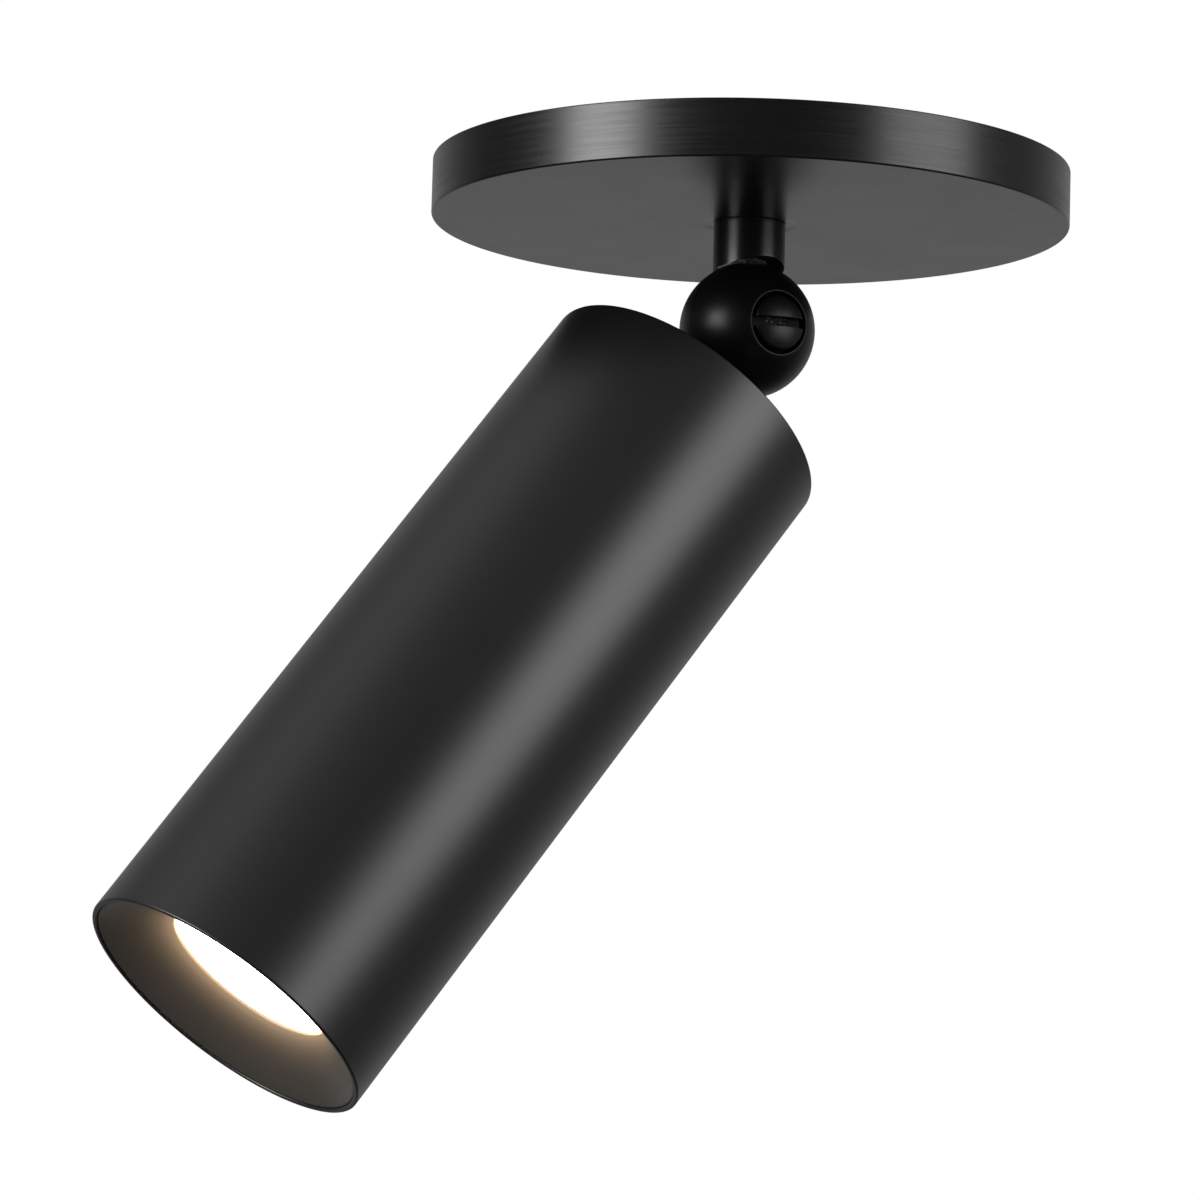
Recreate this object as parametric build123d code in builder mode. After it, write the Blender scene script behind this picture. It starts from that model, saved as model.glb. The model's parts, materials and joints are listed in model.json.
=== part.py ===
import os
from math import cos, radians, sin, sqrt

from build123d import *

# Adjustable ceiling spotlight: a thin round canopy, a split ball swivel and a cylinder head.
# Millimetres. Origin: centre of the canopy's ceiling plane, +Z up. The head tilts towards -X.

# Canopy
canopy_diameter = 120.65
canopy_depth = 10.6
canopy_wall = 1.2
canopy_edge = 0.4
canopy_inner_edge = 0.9
dimple_depth = 0.4
dimple_radius = 7.2
dimple_run = 1.9

# Hollow threaded tubes, both of one size
nipple_radius = 4.9
nipple_bore = 3.3
thread_gap = 0.03
turning_gap = 0.07
hole_gap = 0.25

# Crossbar on the outlet box, with its middle pressed down into the canopy
bracket_length = 104.0
bracket_width = 16.0
bracket_thickness = 1.6
bracket_drop = 3.2
bracket_plateau = 46.0
bracket_slope_run = 4.0
bracket_corner = 4.0
slot_spacing = 79.4
slot_length = 14.1
slot_width = 4.6
ground_hole_offset = 15.0
ground_screw_radius = 2.4
ground_head_radius = 4.1
ground_head_height = 2.2
ground_head_edge = 0.7
nut_across_flats = 14.3
nut_thickness = 2.4
nipple_top = -0.5

# Neck and ball
neck_radius = 6.8
neck_edge = 0.3
ball_radius = 12.8
ball_drop = 20.4
pan_washer_thickness = 0.3
face_gap = 0.02
cope_gap = 0.5
seam_gap = 0.2
seam_edge = 0.3
shell_wall = 1.7
boss_radius = 4.7
channel_depth = 6.4
wire_bore = 3.4
neck_socket_depth = 5.6

# Swivel screw and its two washers
counterbore_radius = 5.85
counterbore_floor = 7.6
land_width = 0.35
shank_radius = 2.5
shank_gap = 0.06
screw_end = 9.0
screw_head_radius = 5.2
screw_head_edge = 0.4
screw_slot_width = 1.9
screw_slot_depth = 1.6
screw_slot_turn = -2.0
spring_washer_height = 0.8
spring_washer_thickness = 0.5
friction_washer_thickness = 1.0

# Head
tilt_at_rest = 38.25
head_reach = 22.0
housing_diameter = 57.15
housing_length = 146.05
housing_wall = 1.0
housing_top_thickness = 2.0
housing_edge = 0.35
housing_inner_edge = 1.5
tooth_washer_thickness = 0.7
tooth_washer_radius = 8.4
tooth_count = 12
tooth_notch_length = 2.2
tooth_notch_width = 1.8
tooth_notch_turn = 20.0
nipple_proud = 1.6

# Frame inside the head
rod_offset = 21.0
rod_across_flats = 5.5
m3_radius = 1.5
m3_hole = 1.6
m3_head_radius = 2.8
m3_head_height = 1.8
short_standoff_length = 20.0
plate_gap = 0.775
plate_thickness = 1.6
plate_wire_hole = 4.0
driver_width = 30.0
driver_depth = 38.0
driver_to_sink = 8.75
driver_corner = 3.0
driver_screw_offset = 13.0
m3_screw_reach = 6.0
thread_run_out = 1.5

# Light engine
sink_gap = 0.15
sink_base = 6.0
sink_fin_length = 24.0
fin_count = 20
fin_thickness = 1.4
fin_core_radius = 8.0
fin_tip_inset = 0.5
rod_well_gap = 0.8
lead_radius = 0.8
lead_spread = 1.2
lead_offset = 13.6
lead_slot_width = 6.0
lead_slot_depth = 3.4
lead_bend = 2.2
pad_size = 20.0
pad_thickness = 0.3
board_size = 19.0
board_thickness = 1.0
emitter_radius = 6.0
emitter_thickness = 0.4
holder_radius = 17.0
holder_bore = 7.4
holder_height = 4.2
holder_screw_offset = 13.8
reflector_length = 18.0
reflector_wall = 1.0
reflector_start_slope = 0.9
reflector_end_slope = 0.25
reflector_small_radius = 7.2
reflector_mouth_radius = 17.0
reflector_rim_radius = 18.8
reflector_rim_thickness = 1.0

# Lens, baffle and its ring
lens_radius = 18.6
lens_thickness = 2.0
lens_gap = 0.15
aperture_radius = 16.4
dish_depth = 7.7
dish_wall = 1.2
aperture_lip = 0.5
baffle_recess = 0.35
baffle_rim = 0.35
baffle_gap = 0.06
baffle_skirt_wall = 1.6
baffle_skirt_length = 12.0
lens_seat_wall = 1.5
o_ring_section = 0.7
o_ring_setback = 8.6

# Heights and places worked out from the above
canopy_radius = canopy_diameter / 2
housing_radius = housing_diameter / 2
housing_bore = housing_radius - housing_wall
plate_radius = housing_bore - plate_gap
canopy_bore = canopy_radius - canopy_wall
canopy_face = -canopy_depth
canopy_floor = canopy_face + canopy_wall
dimple_face = canopy_face + dimple_depth
dimple_end = dimple_radius + dimple_run
canopy_hole = nipple_radius + hole_gap
ball_z = canopy_face - ball_drop
neck_top = dimple_face - pan_washer_thickness - face_gap
plateau_top = -bracket_drop
plateau_bottom = plateau_top - bracket_thickness
socket_radius = nipple_radius + turning_gap
thread_radius = nipple_radius + thread_gap
socket_end = neck_top - neck_socket_depth
cope_radius = ball_radius + cope_gap
land_radius = counterbore_radius + land_width
land_depth = sqrt(ball_radius**2 - land_radius**2)
half_seam = seam_gap / 2
close_enough = 0.01

# Stations along the head, counted from the ball's centre towards the mouth
top_inside = head_reach + housing_top_thickness
mouth = head_reach + housing_length
plate_start = top_inside + short_standoff_length
plate_end = plate_start + plate_thickness
lens_front = mouth - dish_depth - aperture_lip
lens_back = lens_front - lens_thickness
reflector_start = lens_back - reflector_length
holder_start = reflector_start - holder_height
board_start = holder_start - board_thickness
sink_face = board_start - pad_thickness
sink_back = sink_face - sink_base
fins_start = sink_back - sink_fin_length
driver_end = fins_start - driver_to_sink

tilt = radians(tilt_at_rest)
ball_centre = Vector(0, 0, ball_z)
head_direction = Vector(-sin(tilt), 0, -cos(tilt))
head_side = Vector(cos(tilt), 0, -sin(tilt))

# Planes: across the head, through the head's axis, and through the screw's axis
head = Plane(origin=ball_centre, x_dir=head_side, z_dir=head_direction)
head_section = Plane(origin=ball_centre, x_dir=head_side, z_dir=(0, 1, 0))
screw_section = Plane(origin=ball_centre, x_dir=(1, 0, 0), z_dir=(0, 0, 1))
across_screw = Plane(origin=ball_centre, x_dir=(1, 0, 0), z_dir=(0, 1, 0))
head_axis = Axis(ball_centre, head_direction)
screw_axis = Axis(ball_centre, (0, 1, 0))

os.makedirs("parts", exist_ok=True)


def save(part, label):
    part.label = label
    export_step(part, f"parts/{label}.step")


# Canopy: a thin pan, open to the ceiling, its middle pressed in round the hole for the nipple
with BuildPart() as canopy:
    with BuildSketch(Plane.XZ) as canopy_profile:
        with BuildLine():
            Polyline(
                (canopy_hole, dimple_face),
                (dimple_radius, dimple_face),
                (dimple_end, canopy_face),
                (canopy_radius, canopy_face),
                (canopy_radius, 0),
                (canopy_bore, 0),
                (canopy_bore, canopy_floor),
                (dimple_end, canopy_floor),
                (dimple_radius, canopy_floor + dimple_depth),
                (canopy_hole, canopy_floor + dimple_depth),
                close=True,
            )
        make_face()
        outer_corner = canopy_profile.vertices().group_by(Axis.Y)[0].sort_by(Axis.X)[-1]
        fillet(outer_corner, canopy_edge)
        inner_corner = canopy_profile.vertices().filter_by(
            lambda v: abs(v.Y - canopy_floor) < close_enough and v.X > dimple_end + canopy_wall
        )
        fillet(inner_corner, canopy_inner_edge)
    revolve(axis=Axis.Z)
save(canopy.part, "canopy")

# Crossbar: a strip with raised ends and a slot in each, drawn from the side
half_bar = bracket_length / 2
half_plateau = bracket_plateau / 2
slope_end = half_plateau + bracket_slope_run
with BuildPart() as mounting_bracket:
    with BuildSketch(Plane.XZ):
        with BuildLine():
            top_line = Polyline(
                (-half_bar, 0),
                (-slope_end, 0),
                (-half_plateau, plateau_top),
                (half_plateau, plateau_top),
                (slope_end, 0),
                (half_bar, 0),
            )
            bottom_line = Polyline(
                (-half_bar, -bracket_thickness),
                (-slope_end, -bracket_thickness),
                (-half_plateau, plateau_bottom),
                (half_plateau, plateau_bottom),
                (slope_end, -bracket_thickness),
                (half_bar, -bracket_thickness),
            )
            Line(top_line @ 0, bottom_line @ 0)
            Line(top_line @ 1, bottom_line @ 1)
        make_face()
    extrude(amount=bracket_width / 2, both=True)
    bar_ends = mounting_bracket.edges().filter_by(Axis.Z).group_by(Axis.X)
    fillet(bar_ends[0] + bar_ends[-1], bracket_corner)
    with BuildSketch(Plane.XY):
        with GridLocations(slot_spacing, 0, 2, 1):
            SlotOverall(slot_length, slot_width)
    extrude(amount=-2 * bracket_thickness, mode=Mode.SUBTRACT)
    with Locations((0, 0, plateau_top)):
        Hole(thread_radius)
    with Locations((ground_hole_offset, 0, plateau_top)):
        Hole(ground_screw_radius + thread_gap)
save(mounting_bracket.part, "mounting_bracket")

# Nipple from the crossbar, through the canopy, into the neck
with BuildPart() as center_nipple:
    with BuildSketch(Plane.XY.offset(nipple_top)):
        Circle(nipple_radius)
        Circle(nipple_bore, mode=Mode.SUBTRACT)
    extrude(amount=-(nipple_top - socket_end - hole_gap))
save(center_nipple.part, "center_nipple")

# Two thin nuts, one on each side of the crossbar
with BuildPart() as bracket_lock_nuts:
    for nut_bottom in (plateau_top, plateau_bottom - nut_thickness):
        with BuildSketch(Plane.XY.offset(nut_bottom)):
            RegularPolygon(nut_across_flats / 2, 6, major_radius=False)
            Circle(thread_radius, mode=Mode.SUBTRACT)
        extrude(amount=nut_thickness)
save(bracket_lock_nuts.part, "bracket_lock_nuts")

# Earth screw, driven up through the crossbar
with BuildPart() as ground_screw:
    with BuildSketch(Plane.XY.offset(plateau_bottom - ground_head_height)):
        with Locations((ground_hole_offset, 0)):
            Circle(ground_head_radius)
    extrude(amount=ground_head_height)
    chamfer(ground_screw.edges().group_by(Axis.Z)[0], ground_head_edge)
    with BuildSketch(Plane.XY.offset(plateau_bottom)):
        with Locations((ground_hole_offset, 0)):
            Circle(ground_screw_radius)
    extrude(amount=-plateau_bottom + nipple_top)
save(ground_screw.part, "ground_screw")

# Thin washer in the dimple, between the canopy and the turning neck
with BuildPart() as pan_washer:
    with BuildSketch(Plane.XY.offset(dimple_face - pan_washer_thickness)):
        Circle(neck_radius - neck_edge)
        Circle(canopy_hole, mode=Mode.SUBTRACT)
    extrude(amount=pan_washer_thickness)
save(pan_washer.part, "pan_washer")


def half_ball(side):
    """Quarter disc that revolves about the screw into one solid half of the ball, side -1 near or +1 far."""
    rim_start = half_seam + seam_edge
    rim = sqrt(ball_radius**2 - rim_start**2)
    middle = ball_radius * sin(radians(45))
    with BuildSketch(screw_section) as quarter_disc:
        with BuildLine():
            ThreePointArc((rim, side * rim_start), (middle, side * middle), (0, side * ball_radius))
            Polyline(
                (0, side * ball_radius),
                (0, side * half_seam),
                (rim - seam_edge, side * half_seam),
                (rim, side * rim_start),
            )
        make_face()
    return quarter_disc.sketch


def half_hollow(side, boss_face):
    """Half section of the wire channel round the boss, and of the friction disc's recess in its middle."""
    inner_radius = ball_radius - shell_wall
    channel_corner = sqrt(inner_radius**2 - channel_depth**2)
    arc_middle = sqrt(inner_radius**2 - (channel_depth / 2) ** 2)
    with BuildSketch(screw_section) as hollow:
        with BuildLine():
            Polyline(
                (inner_radius, 0),
                (0, 0),
                (0, side * boss_face),
                (boss_radius + hole_gap, side * boss_face),
                (boss_radius + hole_gap, side * channel_depth),
                (channel_corner, side * channel_depth),
            )
            ThreePointArc(
                (channel_corner, side * channel_depth),
                (arc_middle, side * channel_depth / 2),
                (inner_radius, 0),
            )
        make_face()
    return hollow.sketch


# Far half of the ball, with the upper neck. The neck's near side is hollowed to clear the near half.
wire_bore_start = (ball_radius + boss_radius) / 2
with BuildPart() as swivel_upper_half:
    revolve(half_ball(1), axis=screw_axis)
    with BuildSketch(Plane.XY.offset(ball_z)):
        Circle(neck_radius)
    extrude(amount=neck_top - ball_z)
    chamfer(swivel_upper_half.edges().group_by(Axis.Z)[-1], neck_edge)
    with BuildSketch(across_screw.offset(half_seam)):
        Circle(cope_radius)
    extrude(amount=-2 * ball_radius, mode=Mode.SUBTRACT)
    revolve(half_hollow(1, friction_washer_thickness / 2), axis=screw_axis, mode=Mode.SUBTRACT)
    with BuildSketch(Plane.XY.offset(ball_z + wire_bore_start)):
        Circle(wire_bore)
    extrude(amount=neck_top - ball_z, mode=Mode.SUBTRACT)
    with BuildSketch(Plane.XY.offset(neck_top)):
        Circle(socket_radius)
    extrude(amount=-neck_socket_depth, mode=Mode.SUBTRACT)
    with BuildSketch(across_screw):
        Circle(shank_radius + thread_gap)
    extrude(amount=screw_end + hole_gap, mode=Mode.SUBTRACT)
save(swivel_upper_half.part, "swivel_upper_half")

# Near half of the ball, with the lower neck, and the screw's counterbore in a narrow flat land
with BuildPart() as swivel_lower_half:
    revolve(half_ball(-1), axis=screw_axis)
    with BuildSketch(head):
        Circle(neck_radius)
    extrude(amount=head_reach)
    with BuildSketch(across_screw.offset(-half_seam)):
        Circle(cope_radius)
    extrude(amount=2 * ball_radius, mode=Mode.SUBTRACT)
    revolve(
        half_hollow(-1, friction_washer_thickness / 2 + face_gap), axis=screw_axis, mode=Mode.SUBTRACT
    )
    with BuildSketch(across_screw.offset(-land_depth)):
        Circle(ball_radius)
    extrude(amount=-ball_radius, mode=Mode.SUBTRACT)
    with BuildSketch(across_screw.offset(-counterbore_floor)):
        Circle(counterbore_radius)
    extrude(amount=-ball_radius, mode=Mode.SUBTRACT)
    with BuildSketch(across_screw):
        Circle(shank_radius + shank_gap)
    extrude(amount=-ball_radius, mode=Mode.SUBTRACT)
    with BuildSketch(head.offset(wire_bore_start)):
        Circle(wire_bore)
    extrude(amount=head_reach, mode=Mode.SUBTRACT)
    with BuildSketch(head.offset(head_reach)):
        Circle(thread_radius)
    extrude(amount=-neck_socket_depth, mode=Mode.SUBTRACT)
save(swivel_lower_half.part, "swivel_lower_half")

# Slotted screw: its head fills the counterbore and carries on the ball's round
head_seat = counterbore_floor + face_gap + spring_washer_height
head_rim = sqrt(ball_radius**2 - screw_head_radius**2)
dome_middle = screw_head_radius / 2
with BuildPart() as swivel_screw:
    with BuildSketch(screw_section) as screw_profile:
        with BuildLine():
            Polyline(
                (0, -ball_radius),
                (0, screw_end),
                (shank_radius, screw_end),
                (shank_radius, -head_seat),
                (screw_head_radius, -head_seat),
                (screw_head_radius, -head_rim),
            )
            ThreePointArc(
                (screw_head_radius, -head_rim),
                (dome_middle, -sqrt(ball_radius**2 - dome_middle**2)),
                (0, -ball_radius),
            )
        make_face()
        rim_corner = screw_profile.vertices().filter_by(
            lambda v: abs((v.center() - ball_centre).Y + head_rim) < close_enough
        )
        fillet(rim_corner, screw_head_edge)
    revolve(axis=screw_axis)
    with BuildSketch(across_screw.offset(-ball_radius)):
        Rectangle(3 * screw_head_radius, screw_slot_width, rotation=screw_slot_turn)
    extrude(amount=ball_radius - head_rim + screw_slot_depth, mode=Mode.SUBTRACT)
save(swivel_screw.part, "swivel_screw")

# Cone washer that keeps the clamp tight as the swivel wears
with BuildPart() as swivel_spring_washer:
    washer_inner = shank_radius + hole_gap
    washer_outer = boss_radius + hole_gap
    near_face = -counterbore_floor - face_gap
    with BuildSketch(screw_section):
        with BuildLine():
            Polyline(
                (washer_inner, near_face - spring_washer_height),
                (washer_inner, near_face - spring_washer_height + spring_washer_thickness),
                (washer_outer, near_face),
                (washer_outer, near_face - spring_washer_thickness),
                close=True,
            )
        make_face()
    revolve(axis=screw_axis)
save(swivel_spring_washer.part, "swivel_spring_washer")

# Friction disc between the two bosses
with BuildPart() as swivel_friction_washer:
    with BuildSketch(across_screw):
        Circle(boss_radius)
        Circle(shank_radius + hole_gap, mode=Mode.SUBTRACT)
    extrude(amount=friction_washer_thickness / 2, both=True)
save(swivel_friction_washer.part, "swivel_friction_washer")

# Nipple from the lower neck through the housing's top
head_nut_start = top_inside + tooth_washer_thickness
head_nipple_end = head_nut_start + nut_thickness + nipple_proud
with BuildPart() as head_nipple:
    with BuildSketch(head.offset(head_reach - neck_socket_depth + hole_gap)):
        Circle(nipple_radius)
        Circle(nipple_bore, mode=Mode.SUBTRACT)
    extrude(amount=head_nipple_end - head_reach + neck_socket_depth - hole_gap)
save(head_nipple.part, "head_nipple")

# Toothed lock washer under the nut
with BuildPart() as head_tooth_washer:
    with BuildSketch(head.offset(top_inside)):
        Circle(tooth_washer_radius)
        with PolarLocations(tooth_washer_radius, tooth_count):
            Rectangle(
                tooth_notch_length,
                tooth_notch_width,
                rotation=tooth_notch_turn,
                mode=Mode.SUBTRACT,
            )
        Circle(nipple_radius + hole_gap, mode=Mode.SUBTRACT)
    extrude(amount=tooth_washer_thickness)
save(head_tooth_washer.part, "head_tooth_washer")

with BuildPart() as head_lock_nut:
    with BuildSketch(head.offset(head_nut_start)):
        RegularPolygon(nut_across_flats / 2, 6, major_radius=False)
        Circle(thread_radius, mode=Mode.SUBTRACT)
    extrude(amount=nut_thickness)
save(head_lock_nut.part, "head_lock_nut")

# Housing: a drawn cylinder with a closed top, open at the mouth
rod_places = [(-rod_offset, 0), (rod_offset, 0)]
countersink_depth = m3_head_radius - m3_hole
with BuildPart() as housing:
    with BuildSketch(head_section) as housing_profile:
        with Locations((0, head_reach)):
            Rectangle(housing_radius, housing_length, align=(Align.MIN, Align.MIN))
        with Locations((0, top_inside)):
            Rectangle(
                housing_bore,
                housing_length - housing_top_thickness,
                align=(Align.MIN, Align.MIN),
                mode=Mode.SUBTRACT,
            )
        on_outside = housing_profile.vertices().filter_by(
            lambda v: abs((v.center() - ball_centre).dot(head_side) - housing_radius) < close_enough
        )
        fillet(on_outside, housing_edge)
        inside_top = housing_profile.vertices().filter_by(
            lambda v: abs((v.center() - ball_centre).dot(head_side) - housing_bore) < close_enough
            and (v.center() - ball_centre).dot(head_direction) < mouth / 2
        )
        fillet(inside_top, housing_inner_edge)
    revolve(axis=head_axis)
    with BuildSketch(head.offset(head_reach)):
        Circle(nipple_radius + hole_gap)
        with Locations(*rod_places):
            Circle(m3_hole)
    extrude(amount=housing_top_thickness, mode=Mode.SUBTRACT)
    for x, y in rod_places:
        with BuildSketch(head.offset(head_reach)) as wide_end:
            with Locations((x, y)):
                Circle(m3_head_radius)
        with BuildSketch(head.offset(head_reach + countersink_depth)) as narrow_end:
            with Locations((x, y)):
                Circle(m3_hole)
        loft(mode=Mode.SUBTRACT)
save(housing.part, "housing")

# Countersunk screws in the housing's top, flush with it
with BuildPart() as top_screws:
    for x, y in rod_places:
        with BuildSketch(head.offset(head_reach + face_gap)):
            with Locations((x, y)):
                Circle(m3_head_radius - face_gap)
        with BuildSketch(head.offset(head_reach + countersink_depth)):
            with Locations((x, y)):
                Circle(m3_radius)
        loft()
        with BuildSketch(head.offset(head_reach + countersink_depth)):
            with Locations((x, y)):
                Circle(m3_radius)
        extrude(amount=m3_screw_reach)
save(top_screws.part, "top_screws")

# Hexagonal spacers from the housing's top to the driver's plate
stud_length = plate_thickness + m3_screw_reach
with BuildPart() as short_standoffs:
    with BuildSketch(head.offset(top_inside)):
        with Locations(*rod_places):
            RegularPolygon(rod_across_flats / 2, 6, major_radius=False)
            Circle(m3_radius + thread_gap, mode=Mode.SUBTRACT)
    extrude(amount=short_standoff_length)
save(short_standoffs.part, "short_standoffs")

# Long hexagonal rods from the plate to the heat sink, each with a stud up through the plate
with BuildPart() as tie_rods:
    with BuildSketch(head.offset(plate_end)):
        with Locations(*rod_places):
            RegularPolygon(rod_across_flats / 2, 6, major_radius=False)
    extrude(amount=sink_back - plate_end)
    with BuildSketch(head.offset(plate_end)):
        with Locations(*rod_places):
            Circle(m3_radius)
    extrude(amount=-stud_length)
    with BuildSketch(head.offset(sink_back)):
        with Locations(*rod_places):
            Circle(m3_radius + thread_gap)
    extrude(amount=-m3_screw_reach - thread_run_out, mode=Mode.SUBTRACT)
save(tie_rods.part, "tie_rods")

# Plate that carries the driver, with a wide hole for the mains leads
driver_screw_places = [(0, -driver_screw_offset), (0, driver_screw_offset)]
with BuildPart() as driver_plate:
    with BuildSketch(head.offset(plate_start)):
        Circle(plate_radius)
        with Locations(*rod_places, *driver_screw_places):
            Circle(m3_hole, mode=Mode.SUBTRACT)
        Circle(plate_wire_hole, mode=Mode.SUBTRACT)
    extrude(amount=plate_thickness)
save(driver_plate.part, "driver_plate")


def pan_head_screws(plane, places, direction, reach):
    """Round-headed screws whose heads stand on plane, on the side away from direction."""
    with BuildPart() as screws:
        with BuildSketch(plane):
            with Locations(*places):
                Circle(m3_radius)
        extrude(amount=direction * reach)
        with BuildSketch(plane):
            with Locations(*places):
                Circle(m3_head_radius)
        extrude(amount=-direction * m3_head_height)
    return screws.part


driver_screw_reach = plate_thickness + m3_screw_reach
save(pan_head_screws(head.offset(plate_start), driver_screw_places, 1, driver_screw_reach), "driver_screws")

# LED driver: a sealed block with tapped holes in its top and a recess where the mains leads enter
with BuildPart() as driver:
    with BuildSketch(head.offset(plate_end)):
        RectangleRounded(driver_width, driver_depth, driver_corner)
    extrude(amount=driver_end - plate_end)
    with BuildSketch(head.offset(plate_end)):
        with Locations(*driver_screw_places):
            Circle(m3_radius + thread_gap)
        Circle(plate_wire_hole)
    extrude(amount=m3_screw_reach + thread_run_out, mode=Mode.SUBTRACT)
save(driver.part, "driver")

# Heat sink: a thick base at the LED end and radial fins towards the driver, with wells for the rods
sink_radius = housing_bore - sink_gap
well_radius = rod_across_flats / 2 / cos(radians(30)) + rod_well_gap
with BuildPart() as heat_sink:
    with BuildSketch(head.offset(sink_back)):
        Circle(sink_radius)
    extrude(amount=sink_base)
    with BuildSketch(head.offset(fins_start)):
        with PolarLocations(0, fin_count):
            Rectangle(sink_radius - fin_tip_inset, fin_thickness, align=(Align.MIN, Align.CENTER))
        Circle(fin_core_radius)
        with Locations(*rod_places):
            Circle(well_radius, mode=Mode.SUBTRACT)
        with Locations((0, lead_offset)):
            Rectangle(lead_slot_width, lead_slot_depth, mode=Mode.SUBTRACT)
    extrude(amount=sink_fin_length)
    with BuildSketch(head.offset(sink_face)):
        with Locations(*rod_places):
            Circle(m3_hole)
        with Locations((0, lead_offset)):
            Rectangle(lead_slot_width, lead_slot_depth)
        with Locations((-holder_screw_offset, 0), (holder_screw_offset, 0)):
            Circle(m3_radius + thread_gap)
    extrude(amount=-sink_base, mode=Mode.SUBTRACT)
save(heat_sink.part, "heat_sink")

save(pan_head_screws(head.offset(sink_face), rod_places, -1, sink_base + m3_screw_reach), "heat_sink_screws")

# LED board on its pad, with the emitter on its face
with BuildPart() as thermal_pad:
    with BuildSketch(head.offset(sink_face)):
        Rectangle(pad_size, pad_size)
    extrude(amount=pad_thickness)
save(thermal_pad.part, "thermal_pad")

with BuildPart() as led_board:
    with BuildSketch(head.offset(board_start)):
        RectangleRounded(board_size, board_size, board_thickness)
    extrude(amount=board_thickness)
save(led_board.part, "led_board")

with BuildPart() as led_emitter:
    with BuildSketch(head.offset(holder_start)):
        Circle(emitter_radius)
    extrude(amount=emitter_thickness)
save(led_emitter.part, "led_emitter")

# Plastic ring that clamps the board, with a pocket over the board and a passage for the leads
holder_screw_places = [(-holder_screw_offset, 0), (holder_screw_offset, 0)]
with BuildPart() as led_holder:
    with BuildSketch(head.offset(sink_face)):
        Circle(holder_radius)
    extrude(amount=reflector_start - sink_face)
    with BuildSketch(head.offset(sink_face)):
        Rectangle(pad_size + hole_gap, pad_size + hole_gap)
    extrude(amount=holder_start - sink_face, mode=Mode.SUBTRACT)
    with BuildSketch(head.offset(sink_face)):
        Circle(holder_bore)
        with Locations(*holder_screw_places):
            Circle(m3_hole)
    extrude(amount=reflector_start - sink_face, mode=Mode.SUBTRACT)
    with BuildSketch(head.offset(reflector_start)):
        with Locations(*holder_screw_places):
            Circle(m3_head_radius + hole_gap)
    extrude(amount=-m3_head_height - hole_gap, mode=Mode.SUBTRACT)
    with BuildSketch(head.offset(sink_face)):
        Rectangle(lead_slot_width, holder_radius, align=(Align.CENTER, Align.MIN))
    extrude(amount=holder_start - sink_face + 2 * lead_radius + hole_gap, mode=Mode.SUBTRACT)
save(led_holder.part, "led_holder")

holder_screw_seat = reflector_start - m3_head_height - hole_gap
holder_screw_reach = holder_screw_seat - sink_face + m3_screw_reach - hole_gap
save(
    pan_head_screws(head.offset(holder_screw_seat), holder_screw_places, -1, holder_screw_reach),
    "holder_screws",
)

# Reflector: a thin bowl that opens from the emitter to the lens
bowl_ends = ((reflector_start_slope, 1), (reflector_end_slope, 1))
with BuildPart() as reflector:
    with BuildSketch(head_section):
        with BuildLine():
            bowl = Spline(
                (reflector_small_radius, reflector_start),
                (reflector_mouth_radius, lens_back),
                tangents=bowl_ends,
            )
            offset_bowl = Spline(
                (reflector_small_radius + reflector_wall, reflector_start),
                (reflector_mouth_radius + reflector_wall, lens_back - reflector_rim_thickness),
                tangents=bowl_ends,
            )
            Line(bowl @ 0, offset_bowl @ 0)
            Polyline(
                offset_bowl @ 1,
                (reflector_rim_radius, lens_back - reflector_rim_thickness),
                (reflector_rim_radius, lens_back),
                bowl @ 1,
            )
        make_face()
    revolve(axis=head_axis)
save(reflector.part, "reflector")

with BuildPart() as lens:
    with BuildSketch(head.offset(lens_back)):
        Circle(lens_radius)
    extrude(amount=lens_thickness)
save(lens.part, "lens")

# Baffle: a shallow dish down to the lens, a skirt that fills the housing's mouth, and a seat for the lens
baffle_front = mouth - baffle_recess
baffle_radius = housing_bore - baffle_gap
skirt_bore = baffle_radius - baffle_skirt_wall
skirt_end = baffle_front - baffle_skirt_length
dish_start_radius = baffle_radius - baffle_rim
dish_slope = (dish_start_radius - aperture_radius) / (dish_depth - baffle_recess)
seat_bore = lens_radius + lens_gap
seat_radius = seat_bore + lens_seat_wall
seat_roof = lens_front + (seat_radius - aperture_radius - dish_wall) / dish_slope
skirt_roof = lens_front + (skirt_bore - aperture_radius - dish_wall) / dish_slope
ring_place = baffle_front - o_ring_setback
ring_groove_depth = 2 * o_ring_section - baffle_gap
with BuildPart() as baffle:
    with BuildSketch(head_section):
        with BuildLine():
            Polyline(
                (aperture_radius, lens_front),
                (seat_bore, lens_front),
                (seat_bore, lens_back),
                (seat_radius, lens_back),
                (seat_radius, seat_roof),
                (skirt_bore, skirt_roof),
                (skirt_bore, skirt_end),
                (baffle_radius, skirt_end),
                (baffle_radius, ring_place - o_ring_section),
                (baffle_radius - ring_groove_depth, ring_place - o_ring_section),
                (baffle_radius - ring_groove_depth, ring_place + o_ring_section),
                (baffle_radius, ring_place + o_ring_section),
                (baffle_radius, baffle_front),
                (dish_start_radius, baffle_front),
                (aperture_radius, mouth - dish_depth),
                close=True,
            )
        make_face()
    revolve(axis=head_axis)
save(baffle.part, "baffle")

with BuildPart() as baffle_o_ring:
    with BuildSketch(head_section):
        with Locations((housing_bore - o_ring_section - face_gap, ring_place)):
            Circle(o_ring_section - face_gap)
    revolve(axis=head_axis)
save(baffle_o_ring.part, "baffle_o_ring")

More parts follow.
